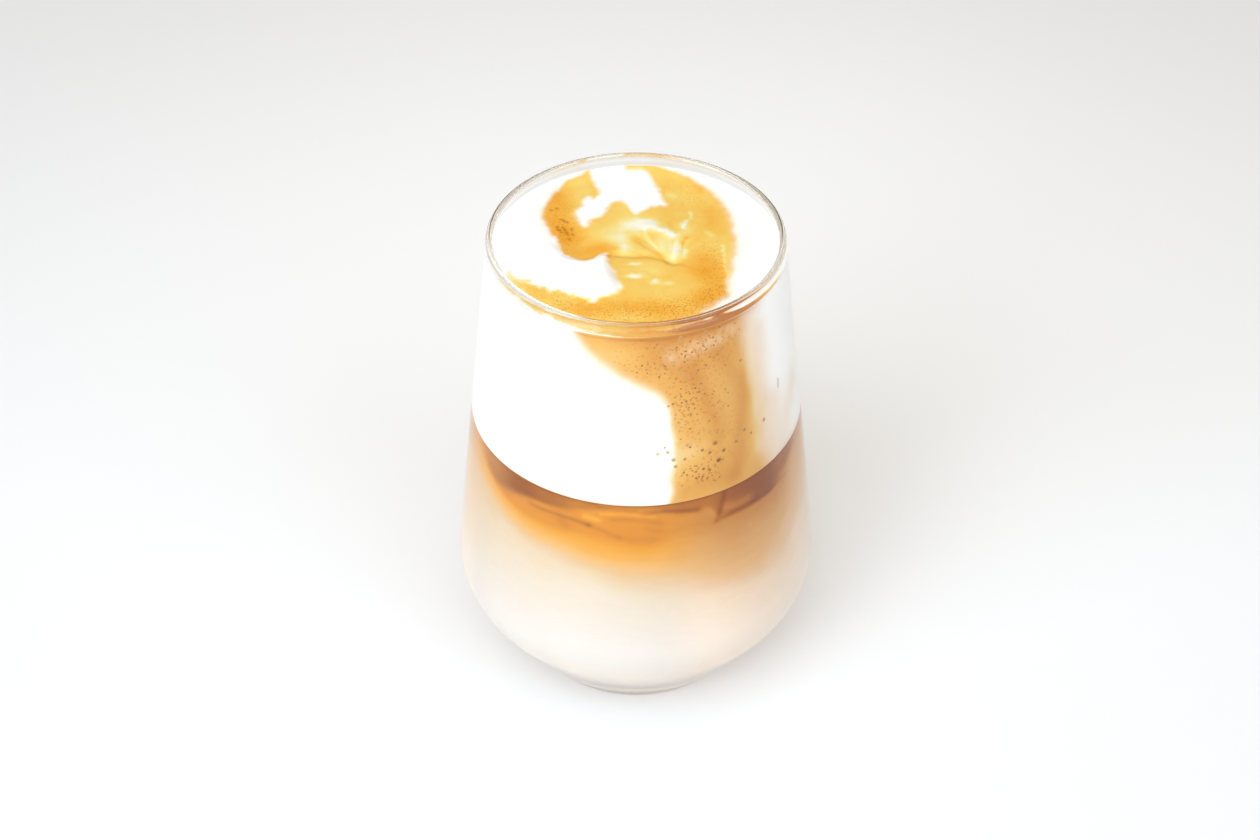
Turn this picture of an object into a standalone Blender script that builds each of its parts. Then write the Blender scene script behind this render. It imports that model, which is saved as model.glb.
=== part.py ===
"""A layered latte in a clear stemless tumbler, at real size.

Lengths are in metres and +Z is up. The origin is the middle of the underside, on the surface
that the glass stands on. The tumbler is one turned piece: a thick base, a low belly and a
nearly straight wall that leans in to the rim. Three fillings stand in it, one on another:
white milk, coffee that has sunk a little way into the milk, and milk foam whose top is
softly folded where the coffee was poured through it.
"""

import math

import bpy
import numpy as np

# Tumbler, outside. The wall is a line pulled tight round two circles and up to the rim.
HEIGHT = 0.120
RIM_RADIUS = 0.033
BELLY_RADIUS = 0.043
BELLY_HEIGHT = 0.0308
BELLY_ROUND = 0.0192
FOOT_FLAT_RADIUS = 0.0231
FOOT_ROUND = 0.0047

# Tumbler, inside.
RIM_WALL = 0.0012
BELLY_WALL = 0.0016
BASE_THICKNESS = 0.009
FLOOR_FLAT_RADIUS = 0.014
FLOOR_ROUND = 0.012

# Levels of the drink, above the surface that the glass stands on.
MILK_LEVEL = 0.054
COFFEE_LEVEL = 0.0735
FOAM_LEVEL = 0.1153
FOAM_EDGE_LEVEL = 0.1166
FOAM_CLIMB_WIDTH = 0.0028

# Free space between the glass and a filling, and between two fillings.
GAP = 0.0003

# Folds in the foam's top: x, y, spread and height of each soft bump or dent.
FOAM_FOLDS = (
    (-0.019, -0.006, 0.0070, 0.00040),
    (-0.008, -0.013, 0.0050, 0.00035),
    (-0.003, 0.024, 0.0065, 0.00035),
    (0.007, 0.007, 0.0050, 0.00030),
    (-0.013, 0.003, 0.0040, -0.00045),
    (0.008, -0.003, 0.0030, -0.00050),
    (0.015, 0.020, 0.0075, -0.00025),
    (0.017, -0.010, 0.0060, -0.00020),
)

# Fineness of the turned shapes.
TURN_STEPS = 72
BELLY_POINTS = 13
CORNER_POINTS = 6
RIM_POINTS = 7
FOAM_RINGS = 13


def arc(centre, radius, start, end, count):
    """Points on a circle in the profile's plane, from one angle to another."""
    turns = np.linspace(start, end, count)
    return np.stack((centre[0] + radius * np.cos(turns), centre[1] + radius * np.sin(turns)), axis=1)


def normal_angle(low, low_round, high, high_round):
    """Direction that faces out from the straight line touching two circles on their outer side."""
    run = high[0] - low[0]
    rise = high[1] - low[1]
    return math.atan2(rise, run) - math.acos((low_round - high_round) / math.hypot(run, rise))


def wall_line(floor, flat_radius, corner_round, belly_radius, belly_round, top):
    """Profile of a tumbler wall from its flat bottom up to the point top, as radius and height."""
    corner = (flat_radius, floor + corner_round)
    belly = (belly_radius - belly_round, BELLY_HEIGHT)
    flank = normal_angle(corner, corner_round, belly, belly_round)
    lean = normal_angle(belly, belly_round, top, 0.0)
    return np.vstack(
        (
            arc(corner, corner_round, -math.pi / 2, flank, CORNER_POINTS),
            arc(belly, belly_round, flank, lean, BELLY_POINTS),
            [top],
        )
    )


def stretch(line, low, high):
    """The part of a wall line between two heights, with a point worked out at each end."""
    radii, heights = line.T
    between = line[(heights > low) & (heights < high)]
    low_end = [[np.interp(low, heights, radii), low]]
    high_end = [[np.interp(high, heights, radii), high]]
    return np.vstack((low_end, between, high_end))


def inner_line(inset):
    """The glass's inner wall, or a line that lies inset inside it."""
    return wall_line(
        BASE_THICKNESS + inset,
        FLOOR_FLAT_RADIUS,
        FLOOR_ROUND - inset,
        BELLY_RADIUS - BELLY_WALL - inset,
        BELLY_ROUND - BELLY_WALL - inset,
        (RIM_RADIUS - RIM_WALL - inset, HEIGHT - RIM_WALL / 2),
    )


def glass_profile():
    """Up the inside from the middle of the floor, over the round rim and down the outside."""
    outside = wall_line(
        0.0,
        FOOT_FLAT_RADIUS,
        FOOT_ROUND,
        BELLY_RADIUS,
        BELLY_ROUND,
        (RIM_RADIUS, HEIGHT - RIM_WALL / 2),
    )
    rim_centre = (RIM_RADIUS - RIM_WALL / 2, HEIGHT - RIM_WALL / 2)
    rim = arc(rim_centre, RIM_WALL / 2, math.pi, 0.0, RIM_POINTS)
    return np.vstack(([[0.0, BASE_THICKNESS]], inner_line(0.0), rim[1:-1], outside[::-1], [[0.0, 0.0]]))


def filling_profile(low, high):
    """A filling with a flat top and bottom between two heights."""
    side = stretch(inner_line(GAP), low, high)
    return np.vstack(([[0.0, high]], side[::-1], [[0.0, low]]))


def foam_profile(low):
    """The foam, whose top is a row of rings that climbs a little where it clings to the wall."""
    side = stretch(inner_line(GAP), low, FOAM_EDGE_LEVEL)
    edge_radius = side[-1, 0]
    radii = np.linspace(0.0, edge_radius, FOAM_RINGS)
    climb = np.exp((radii - edge_radius) / FOAM_CLIMB_WIDTH)
    heights = FOAM_LEVEL + (FOAM_EDGE_LEVEL - FOAM_LEVEL) * climb
    top = np.stack((radii, heights), axis=1)
    return np.vstack((top, side[-2::-1], [[0.0, low]]))


def fold_foam(solid):
    """Raises and sinks the foam's top by its folds, fading to nothing at the wall."""
    mesh = solid.data
    points = np.empty(len(mesh.vertices) * 3)
    mesh.vertices.foreach_get("co", points)
    points = points.reshape(-1, 3)
    on_top = points[:, 2] > FOAM_LEVEL - GAP
    x, y, z = points[on_top].T
    edge_radius = np.hypot(x, y).max()
    fade = 1.0 - (np.hypot(x, y) / edge_radius) ** 6
    for fold_x, fold_y, spread, height in FOAM_FOLDS:
        away = ((x - fold_x) ** 2 + (y - fold_y) ** 2) / spread**2
        z = z + fade * height * np.exp(-away)
    points[on_top, 2] = z
    mesh.vertices.foreach_set("co", points.ravel())
    mesh.update()


def turned(name, profile):
    """An object whose mesh is the open profile, turned about Z by a Screw modifier."""
    corners = [(radius, 0.0, height) for radius, height in profile]
    lines = [(i, i + 1) for i in range(len(corners) - 1)]
    mesh = bpy.data.meshes.new(name)
    mesh.from_pydata(corners, lines, [])
    solid = bpy.data.objects.new(name, mesh)
    screw = solid.modifiers.new("Turn", "SCREW")
    screw.steps = TURN_STEPS
    screw.render_steps = TURN_STEPS
    screw.use_merge_vertices = True
    screw.merge_threshold = 0.00001
    screw.use_smooth_shade = True
    return solid


def with_modifiers_applied(solid):
    """Replaces the object's mesh by what its modifiers make of it."""
    bpy.context.view_layer.update()
    seen = solid.evaluated_get(bpy.context.evaluated_depsgraph_get())
    made = bpy.data.meshes.new_from_object(seen)
    solid.modifiers.clear()
    solid.data = made
    made.name = solid.name
    return solid


def linear(hex_colour):
    """An sRGB hex colour as the linear values that a shader takes, with alpha 1."""
    shares = [int(hex_colour[i : i + 2], 16) / 255 for i in (1, 3, 5)]
    return (*(s / 12.92 if s <= 0.04045 else ((s + 0.055) / 1.055) ** 2.4 for s in shares), 1.0)


def finish(solid, name, colour, roughness, transmission=0.0, ior=1.5):
    """Gives the solid a material of its own."""
    material = bpy.data.materials.new(name)
    material.use_nodes = True
    shader = material.node_tree.nodes["Principled BSDF"]
    shader.inputs["Base Color"].default_value = linear(colour)
    shader.inputs["Metallic"].default_value = 0.0
    shader.inputs["Roughness"].default_value = roughness
    shader.inputs["Transmission Weight"].default_value = transmission
    shader.inputs["IOR"].default_value = ior
    solid.data.materials.append(material)


def clear_scene():
    for thing in list(bpy.data.objects):
        bpy.data.objects.remove(thing)


def build():
    clear_scene()
    parts = bpy.data.collections.new("latte")
    bpy.context.scene.collection.children.link(parts)

    glass = turned("glass", glass_profile())
    milk = turned("milk", filling_profile(BASE_THICKNESS + GAP, MILK_LEVEL - GAP / 2))
    coffee = turned("coffee", filling_profile(MILK_LEVEL + GAP / 2, COFFEE_LEVEL - GAP / 2))
    foam = turned("foam", foam_profile(COFFEE_LEVEL + GAP / 2))
    for solid in (glass, milk, coffee, foam):
        parts.objects.link(solid)

    fold_foam(with_modifiers_applied(foam))

    finish(glass, "clear_soda_lime_glass", "#F4F7F5", 0.02, transmission=1.0, ior=1.52)
    finish(milk, "warm_milk", "#FFF4E6", 0.30)
    finish(coffee, "coffee_in_milk", "#D98B3C", 0.25)
    finish(foam, "milk_foam", "#FFFCF6", 0.60)


build()
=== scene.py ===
# %% [markdown]
# # A layered latte in a clear tumbler
#
# This lesson dresses a latte whose plain solids already exist: a tumbler, white milk, coffee that
# has sunk into the milk, and a head of foam. Each solid gets a finer surface here, worked out with
# numpy, and a material made of nodes. Everything is in metres, with +Z up and the origin in the
# middle of the surface that the glass stands on.

import math

import bpy
import numpy as np
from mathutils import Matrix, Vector


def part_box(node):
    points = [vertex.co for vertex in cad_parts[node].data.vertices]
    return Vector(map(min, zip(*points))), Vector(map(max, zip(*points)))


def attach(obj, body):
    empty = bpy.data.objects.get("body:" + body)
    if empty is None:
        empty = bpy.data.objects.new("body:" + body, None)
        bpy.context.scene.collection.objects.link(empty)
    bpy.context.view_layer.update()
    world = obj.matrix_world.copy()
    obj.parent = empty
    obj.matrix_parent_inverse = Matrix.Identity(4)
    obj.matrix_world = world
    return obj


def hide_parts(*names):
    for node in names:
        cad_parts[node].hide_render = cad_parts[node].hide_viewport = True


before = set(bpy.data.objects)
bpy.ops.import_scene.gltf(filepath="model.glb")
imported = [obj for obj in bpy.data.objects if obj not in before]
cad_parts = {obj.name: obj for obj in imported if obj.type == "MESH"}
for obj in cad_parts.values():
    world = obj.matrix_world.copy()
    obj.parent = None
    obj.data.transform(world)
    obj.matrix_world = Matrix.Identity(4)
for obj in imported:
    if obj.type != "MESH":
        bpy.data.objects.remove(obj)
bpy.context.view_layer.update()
MM = 0.001

# %% [markdown]
# ## Sizes
#
# The height, the belly's width and the foam's level are read from the plain solids. The rest is
# written in millimetres. The tumbler's wall is a line pulled tight round two circles, one at the
# foot and one at the belly, and then straight up to the rim.

# %% Sizes in metres
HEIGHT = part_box("glass")[1].z
BELLY_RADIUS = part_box("glass")[1].x
FOAM_EDGE_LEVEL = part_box("foam")[1].z
COFFEE_LEVEL = 73.5 * MM
MILK_LEVEL = 54.0 * MM
FOAM_LEVEL = 115.3 * MM
FOAM_CLIMB_WIDTH = 2.8 * MM

RIM_RADIUS = 33.0 * MM
BELLY_HEIGHT = 30.8 * MM
BELLY_ROUND = 19.2 * MM
FOOT_FLAT_RADIUS = 23.1 * MM
FOOT_ROUND = 4.7 * MM
RIM_WALL = 1.2 * MM
RIM_BEAD = 1.6 * MM
BEAD_HEIGHT = 2.6 * MM
BELLY_WALL = 1.6 * MM
BASE_THICKNESS = 9.0 * MM
FLOOR_FLAT_RADIUS = 14.0 * MM
FLOOR_ROUND = 12.0 * MM

# How far each filling reaches into the glass wall, so that no air shows between them.
WALL_BITE = 0.15 * MM

print("tumbler", round(HEIGHT / MM), "mm high and", round(2 * BELLY_RADIUS / MM), "mm wide")

# %% [markdown]
# ## Camera
#
# The camera looks down on the glass at 39.9 degrees from about half a metre away. The lens is a
# short telephoto, so the rim and the foot are nearly the same scale. The frame's middle is a few
# pixels beside the glass, which a small sideways shift of the lens gives.

# %% Camera
# In pixels of the picture: its width, the focal length, and the glass's axis beside the middle.
PICTURE_WIDTH = 1260
FOCAL_PIXELS = 2200
GLASS_RIGHT_OF_MIDDLE = 6
CAMERA_PLACE = (0.0, -395.472 * MM, 397.629 * MM)
CAMERA_PITCH = math.radians(39.91)
SENSOR_WIDTH = 36.0

camera_data = bpy.data.cameras.new("camera")
camera_data.sensor_width = SENSOR_WIDTH
camera_data.lens = FOCAL_PIXELS / PICTURE_WIDTH * SENSOR_WIDTH
camera_data.shift_x = -GLASS_RIGHT_OF_MIDDLE / PICTURE_WIDTH
camera = bpy.data.objects.new("camera", camera_data)
camera.location = CAMERA_PLACE
camera.rotation_euler = (math.pi / 2 - CAMERA_PITCH, 0.0, 0.0)
bpy.context.scene.collection.objects.link(camera)
bpy.context.scene.camera = camera
print("lens", round(camera_data.lens, 1), "mm")

# %% [markdown]
# ## Colours, nodes and meshes
#
# Colours are picked as sRGB hex values and turned to the linear values that shaders take. One
# helper adds a node with its settings and its inputs: an input takes a value, a socket, or a node,
# which then stands for its first output. Another helper puts arrays of points and faces into a
# mesh, with one number a point for each pattern that a material reads.

# %% Helpers
SHARP_FROM = math.radians(40)
bpy.context.scene.view_settings.view_transform = "Standard"


def linear(hex_colour):
    """sRGB hex to linear: each channel / 12.92 near black, else ((c + 0.055) / 1.055) to the 2.4."""
    shares = [int(hex_colour[i : i + 2], 16) / 255 for i in (1, 3, 5)]
    return (*(s / 12.92 if s <= 0.04045 else ((s + 0.055) / 1.055) ** 2.4 for s in shares), 1.0)


def add(tree, kind, inputs=None, stops=(), **settings):
    """Adds one node, makes its settings, sets or links each input, and fills a ramp's stops."""
    made = tree.nodes.new(kind)
    for name, value in settings.items():
        setattr(made, name, value)
    for name, value in (inputs or {}).items():
        if isinstance(value, bpy.types.Node):
            value = value.outputs[0]
        if isinstance(value, bpy.types.NodeSocket):
            tree.links.new(value, made.inputs[name])
        else:
            made.inputs[name].default_value = value
    for i, (place, colour) in enumerate(stops):
        stop = made.color_ramp.elements[i] if i < 2 else made.color_ramp.elements.new(place)
        stop.position = place
        stop.color = linear(colour)
    return made


def new_material(name):
    """A material with nodes, as (material, its tree, its Principled shader)."""
    material = bpy.data.materials.new(name)
    material.use_nodes = True
    return material, material.node_tree, material.node_tree.nodes["Principled BSDF"]


def new_piece(name, points, faces, materials, face_slots=None, patterns=None):
    """An object at the origin from arrays: its points, its faces, and one number a point per pattern."""
    mesh = bpy.data.meshes.new(name)
    mesh.from_pydata(points.tolist(), [], [face for block in faces for face in block.tolist()])
    for material in materials:
        mesh.materials.append(material)
    if face_slots is not None:
        mesh.polygons.foreach_set("material_index", face_slots)
    for key, values in (patterns or {}).items():
        mesh.attributes.new(key, "FLOAT", "POINT").data.foreach_set("value", values.astype(np.float32))
    mesh.shade_smooth()
    mesh.set_sharp_from_angle(angle=SHARP_FROM)
    mesh.update()
    piece = bpy.data.objects.new(name, mesh)
    bpy.context.scene.collection.objects.link(piece)
    print(name, len(mesh.vertices), "points", sum(len(f) - 2 for b in faces for f in b), "triangles")
    return piece


print("middle grey as a linear value:", round(linear("#808080")[0], 3))

# %% [markdown]
# ## Soft light
#
# The drink stands in a bright, nearly shadowless set. Pale walls all round give most of the light,
# here the world. A low softbox at the left and a higher one nearer the front give the faint shadow
# that falls to the right and away from the viewer, and one at the front right keeps that side pale.
# The floor is a board painted matt white: it scatters light evenly and hardly shines. Its colour
# is brightest round the glass and greys a little further out, a painted fall-off of the light,
# broken up by soft clouds.

# %% Floor and lights
WALL_LIGHT = 0.605
WALL_COLOUR = "#FFF4E6"
SOFTBOX_COLOUR = "#E1F0FF"
FLOOR_SIDE = 8.0
SOFTBOX_AWAY = 1.3
SOFTBOX_SIDE = 0.9
# Each softbox: degrees to the right of the front, degrees above the floor, and watts.
SOFTBOXES = {
    "softbox_left": (-45, 25, 8.5),
    "softbox_front": (-20, 50, 7.5),
    "softbox_right": (40, 40, 4.9),
}

BOARD_CLOUDS = 11 * MM
CLOUD_SHARE = 0.06
# Painted light: the board greys outwards from this middle, standing in for the light's fall-off.
LIGHT_POOL_MIDDLE = (10 * MM, 120 * MM, 0.0)
LIGHT_POOL_REACH = 20 * MM
FALLOFF_REACH = 340 * MM

board, tree, shader = new_material("matt_white_board")
place = add(tree, "ShaderNodeTexCoord").outputs["Object"]
clouds = add(tree, "ShaderNodeTexNoise", {"Vector": place, "Scale": 1 / BOARD_CLOUDS, "Detail": 3.0})
away = add(tree, "ShaderNodeVectorMath", {0: place, 1: LIGHT_POOL_MIDDLE}, operation="DISTANCE")
reach = {"Value": away.outputs["Value"], "From Min": LIGHT_POOL_REACH, "From Max": FALLOFF_REACH}
painted_falloff = add(tree, "ShaderNodeMapRange", reach, interpolation_type="SMOOTHSTEP")
grey = add(tree, "ShaderNodeMath", {0: clouds, 1: CLOUD_SHARE, 2: painted_falloff}, operation="MULTIPLY_ADD")
tone = add(tree, "ShaderNodeValToRGB", {"Fac": grey}, stops=((0.0, "#FDFDFC"), (1.0, "#ECECED")))
tree.links.new(tone.outputs["Color"], shader.inputs["Base Color"])
shader.inputs["Roughness"].default_value = 0.9
shader.inputs["Specular IOR Level"].default_value = 0.1

half = FLOOR_SIDE / 2
corners = np.array([(-half, -half, 0.0), (half, -half, 0.0), (half, half, 0.0), (-half, half, 0.0)])
floor = new_piece("floor", corners, [np.array([[0, 1, 2, 3]])], [board])

world = bpy.data.worlds.new("pale_walls")
world.use_nodes = True
bpy.context.scene.world = world
world.node_tree.nodes["Background"].inputs["Color"].default_value = linear(WALL_COLOUR)
world.node_tree.nodes["Background"].inputs["Strength"].default_value = WALL_LIGHT

for name, (right, up, watts) in SOFTBOXES.items():
    right, up = math.radians(right), math.radians(up)
    toward = Vector((math.sin(right) * math.cos(up), -math.cos(right) * math.cos(up), math.sin(up)))
    lamp = bpy.data.lights.new(name, "AREA")
    lamp.size = SOFTBOX_SIDE
    lamp.energy = watts
    lamp.color = linear(SOFTBOX_COLOUR)[:3]
    softbox = bpy.data.objects.new(name, lamp)
    softbox.location = SOFTBOX_AWAY * toward
    softbox.rotation_euler = (-toward).to_track_quat("-Z", "Y").to_euler()
    bpy.context.scene.collection.objects.link(softbox)
    print(name, [round(c, 2) for c in softbox.location])

# %% [markdown]
# ## Shapes by formula
#
# A turned piece is a profile carried round the axis. A soft-edged mark is a smooth loop drawn
# through a few points: the distance from the loop, counted positive inside, becomes a
# number from 0 to 1 with as soft an edge as wanted. Smooth noise breaks up what would be too even.

# %% Profiles
FOOT_POINTS = 24
BELLY_POINTS = 40


def arc(centre, radius, start, end, count):
    """Points centre + radius (cos a, sin a) for even angles a from start to end."""
    turns = np.linspace(start, end, count)
    return np.stack((centre[0] + radius * np.cos(turns), centre[1] + radius * np.sin(turns)), axis=1)


def normal_angle(low, low_round, high, high_round):
    """Angle facing out from the line that touches two circles: atan2(rise, run) - acos(dr / gap)."""
    run = high[0] - low[0]
    rise = high[1] - low[1]
    return math.atan2(rise, run) - math.acos((low_round - high_round) / math.hypot(run, rise))


def wall_line(inset, flat_radius, corner_round, belly_radius, belly_round, floor_height, top):
    """A tumbler wall's profile: arc at the foot, arc at the belly, straight lines between and up."""
    corner = (flat_radius, floor_height + corner_round)
    belly = (belly_radius - belly_round, BELLY_HEIGHT)
    flank = normal_angle(corner, corner_round - inset, belly, belly_round - inset)
    lean = normal_angle(belly, belly_round - inset, top, 0.0)
    return np.vstack(
        (
            arc(corner, corner_round - inset, -math.pi / 2, flank, FOOT_POINTS),
            arc(belly, belly_round - inset, flank, lean, BELLY_POINTS),
            [top],
        )
    )


def outer_line():
    """The glass's outside, from the flat of the foot up to the rim."""
    top = (RIM_RADIUS, HEIGHT - RIM_WALL / 2)
    return wall_line(0.0, FOOT_FLAT_RADIUS, FOOT_ROUND, BELLY_RADIUS, BELLY_ROUND, 0.0, top)


def inner_line(inset):
    """The glass's inside, moved inwards by inset."""
    top = (RIM_RADIUS - RIM_WALL - inset, HEIGHT - RIM_WALL / 2)
    belly = BELLY_RADIUS - BELLY_WALL
    belly_round = BELLY_ROUND - BELLY_WALL
    return wall_line(inset, FLOOR_FLAT_RADIUS, FLOOR_ROUND, belly, belly_round, BASE_THICKNESS, top)


def stretch(line, low, high, spacing):
    """The part of a profile between two heights, as points an even way apart along it."""
    steps = np.r_[0.0, np.cumsum(np.hypot(*np.diff(line, axis=0).T))]
    ends = np.interp([low, high], line[:, 1], steps)
    along = np.linspace(ends[0], ends[1], 1 + math.ceil((ends[1] - ends[0]) / spacing))
    return np.stack([np.interp(along, steps, line[:, k]) for k in (0, 1)], axis=1)


def rows_between(line, stops):
    """Stretches joined end to end. Stops are (height, spacing from there up), the last one the top."""
    blocks = [stretch(line, low, high, gap) for (low, gap), (high, _) in zip(stops[:-1], stops[1:])]
    return np.vstack([blocks[0], *[block[1:] for block in blocks[1:]]])


def turned(profile, angles):
    """Points (r cos a, r sin a, z) for each profile point (r, z) and angle a, and the faces between."""
    rows = len(profile)
    columns = len(angles)
    radii, heights = profile.T
    x = radii[:, None] * np.cos(angles)
    y = radii[:, None] * np.sin(angles)
    z = heights[:, None] + 0.0 * angles
    row, column = np.mgrid[0 : rows - 1, 0:columns]
    here = row * columns + column
    beside = row * columns + (column + 1) % columns
    quads = np.stack((here, beside, beside + columns, here + columns), axis=-1)
    return np.stack((x, y, z), axis=-1).reshape(-1, 3), quads.reshape(-1, 4)


def fan(ring, centre, up):
    """Triangles from a ring of points, named in turn order, to the point at its centre."""
    beside = np.roll(ring, -1)
    middle = np.full(len(ring), centre)
    order = (ring, beside, middle) if up else (beside, ring, middle)
    return np.stack(order, axis=1)


print("inner wall at the rim", round(inner_line(0.0)[-1, 0] / MM, 2), "mm from the axis")

# %% Soft-edged marks and noise
def rise(values, low, high):
    """An S-curve from 0 at low to 1 at high: 3 t squared - 2 t cubed."""
    t = np.clip((values - low) / (high - low), 0.0, 1.0)
    return t * t * (3.0 - 2.0 * t)


def smooth_loop(points, steps=8):
    """A closed Catmull-Rom curve through the points, as short straight stretches."""
    p = np.array(points, float)
    before, after, next_after = np.roll(p, 1, 0), np.roll(p, -1, 0), np.roll(p, -2, 0)
    t = np.arange(steps)[:, None, None] / steps
    curve = 0.5 * (
        2 * p
        + (after - before) * t
        + (2 * before - 5 * p + 4 * after - next_after) * t**2
        + (3 * p - before - 3 * after + next_after) * t**3
    )
    return curve.transpose(1, 0, 2).reshape(-1, 2)


def from_line(x, y, points):
    """Least distance from each place (x, y) to a line through the points."""
    best = np.full(x.shape, np.inf)
    for (x0, y0), (x1, y1) in zip(points[:-1], points[1:]):
        dx, dy = x1 - x0, y1 - y0
        along = np.clip(((x - x0) * dx + (y - y0) * dy) / (dx * dx + dy * dy + 1e-12), 0.0, 1.0)
        best = np.minimum(best, np.hypot(x - x0 - along * dx, y - y0 - along * dy))
    return best


def inside(x, y, points):
    """Distance from a smooth loop through the points, positive inside it."""
    loop = smooth_loop(points)
    loop = np.vstack((loop, loop[:1]))
    crossings = np.zeros(x.shape, int)
    for (x0, y0), (x1, y1) in zip(loop[:-1], loop[1:]):
        spans = (y0 > y) != (y1 > y)
        crossings += spans & (x < x0 + (y - y0) * (x1 - x0) / (y1 - y0 + 1e-12))
    return np.where(crossings % 2 == 1, 1.0, -1.0) * from_line(x, y, loop)


def spots(x, y, table):
    """Soft round marks added up: amount times exp(-(dx / rx) squared - (dy / ry) squared)."""
    return sum(a * np.exp(-(((x - u) / p) ** 2) - ((y - v) / q) ** 2) for u, v, p, q, a in table)


def strokes(x, y, table):
    """Soft strokes added up: amount times exp(-(distance from the line / half width) squared)."""
    return sum(a * np.exp(-((from_line(x, y, line) / w) ** 2)) for line, w, a in table)


# The wall's mean radius behind the foam in millimetres, which turns degrees into millimetres round.
SIDE_RADIUS = 35.5


def on_side(points):
    """Points given as degrees round the glass and height, as millimetres round and height."""
    return tuple((math.radians(turn) * SIDE_RADIUS, height) for turn, height in points)


def on_side_all(table):
    """A table of strokes whose lines are given in degrees and height, in millimetres round."""
    return [(on_side(line), width, amount) for line, width, amount in table]


# How many random numbers the noise has each way before it repeats.
LATTICE = 64


def cloud(x, y, z, size, seed):
    """Smooth noise from 0 to 1: random numbers on a lattice of that size, blended by S-curves."""
    values = np.random.default_rng(seed).random((LATTICE, LATTICE, LATTICE))
    places = np.stack((x, y, z)) / size
    low = np.floor(places).astype(int)
    share = places - low
    share = share * share * (3.0 - 2.0 * share)
    total = 0.0
    for corner in np.ndindex(2, 2, 2):
        weight = 1.0
        for axis in range(3):
            weight = weight * (share[axis] if corner[axis] else 1.0 - share[axis])
        total = total + weight * values[tuple((low[axis] + corner[axis]) % LATTICE for axis in range(3))]
    return total


def layered_cloud(x, y, z, size, seed):
    """Three sizes of noise averaged, each half as large and half as strong as the one before."""
    shares = (1.0, 0.5, 0.25)
    layers = [share * cloud(x, y, z, share * size, seed + k) for k, share in enumerate(shares)]
    return sum(layers) / sum(shares)


print("noise at one place", round(float(cloud(*np.array([[1.0], [2.0], [3.0]]), 5.0, 1)[0]), 3))

# %% [markdown]
# ## Tumbler
#
# The real glass is blown soda-lime glass: a thick clear base, a low round belly and a thin wall
# with a fire-polished rim. It is one closed surface, so the light bends on its way in and again on
# its way out, which draws the thin grey lines at the rim and the foot. Its rim is melted to a bead,
# a little thicker than the wall. The rays that only ask whether a lamp can be seen pass straight
# through, and so do two fifths of those that gather light for a matt surface, because nearly all
# light gets through real clear glass, though bent. The thick base holds back a little of it.

# %% Tumbler material
# Soda-lime glass, blown and fire-polished: quite smooth and clear, with slow waves from blowing.
# Its colour is warm in the base, a painted reflection of the warm drink, and warm grey in the
# bead, painted shade that darkens the rim lines.
BLOWING_WAVE = 14 * MM
WAVE_DEPTH = 0.2 * MM
MATT_SHARE = 0.4
# Colours by the share of the height: of the glass, and of the light that passes straight through.
# Painted light: the first stop warms the base like the drink's light, and the last greys the bead.
GLASS_TINTS_AND_PAINTED_LIGHT = ((0.0, "#FFF8EC"), (0.07, "#FFFFFE"), (0.989, "#FFFFFE"), (0.994, "#DFD1BC"))
PASSED = ((0.0, "#E4DACE"), (0.05, "#E8E0D6"), (0.10, "#FFFFFF"))

clear_glass, tree, shader = new_material("clear_soda_lime_glass")
shader.inputs["Roughness"].default_value = 0.0
shader.inputs["IOR"].default_value = 1.52
shader.inputs["Transmission Weight"].default_value = 1.0
place = add(tree, "ShaderNodeTexCoord").outputs["Object"]
level = add(tree, "ShaderNodeSeparateXYZ", {"Vector": place}).outputs["Z"]
share = add(tree, "ShaderNodeMapRange", {"Value": level, "From Min": 0.0, "From Max": HEIGHT})
tint_and_painted_light = add(tree, "ShaderNodeValToRGB", {"Fac": share}, stops=GLASS_TINTS_AND_PAINTED_LIGHT)
tree.links.new(tint_and_painted_light.outputs["Color"], shader.inputs["Base Color"])
wave = add(tree, "ShaderNodeTexNoise", {"Vector": place, "Scale": 1 / BLOWING_WAVE, "Detail": 1.0})
ripple = add(tree, "ShaderNodeBump", {"Height": wave, "Strength": 0.01, "Distance": WAVE_DEPTH})
tree.links.new(ripple.outputs["Normal"], shader.inputs["Normal"])
rays = add(tree, "ShaderNodeLightPath").outputs
matt_ray = add(tree, "ShaderNodeMath", {0: rays["Is Diffuse Ray"], 1: MATT_SHARE}, operation="MULTIPLY")
plain_ray = add(tree, "ShaderNodeMath", {0: rays["Is Shadow Ray"], 1: matt_ray}, operation="MAXIMUM")
passed = add(tree, "ShaderNodeValToRGB", {"Fac": share}, stops=PASSED)
straight = add(tree, "ShaderNodeBsdfTransparent", {"Color": passed})
either = add(tree, "ShaderNodeMixShader", {0: plain_ray, 1: shader, 2: straight})
tree.links.new(either.outputs["Shader"], tree.nodes["Material Output"].inputs["Surface"])
print(clear_glass.name, "is tinted at", len(GLASS_TINTS_AND_PAINTED_LIGHT), "heights")

# %% Tumbler
GLASS_COLUMNS = 288
RIM_POINTS = 17
SWELL_POINTS = 9
around = np.arange(GLASS_COLUMNS) * 2 * math.pi / GLASS_COLUMNS
bead_middle = HEIGHT - RIM_BEAD / 2
outside = outer_line()
outside[-1, 1] = bead_middle
rim = arc((RIM_RADIUS - RIM_BEAD / 2, bead_middle), RIM_BEAD / 2, 0.0, math.pi, RIM_POINTS)
swell = np.linspace(bead_middle - BEAD_HEIGHT, bead_middle, SWELL_POINTS)
inside_wall = inner_line(0.0)
thin = np.interp(swell, inside_wall[:, 1], inside_wall[:, 0])
share = rise(swell, swell[0], swell[-1])
bead = np.stack((thin + (RIM_RADIUS - RIM_BEAD - thin) * share, swell), axis=1)
profile = np.vstack((outside, rim[1:-1], bead[::-1], inside_wall[-2::-1]))
points, quads = turned(profile, around)
under, floor_middle = len(points), len(points) + 1
points = np.vstack((points, [[0.0, 0.0, 0.0], [0.0, 0.0, BASE_THICKNESS]]))
first = np.arange(GLASS_COLUMNS)
last = first + (len(profile) - 1) * GLASS_COLUMNS
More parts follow.
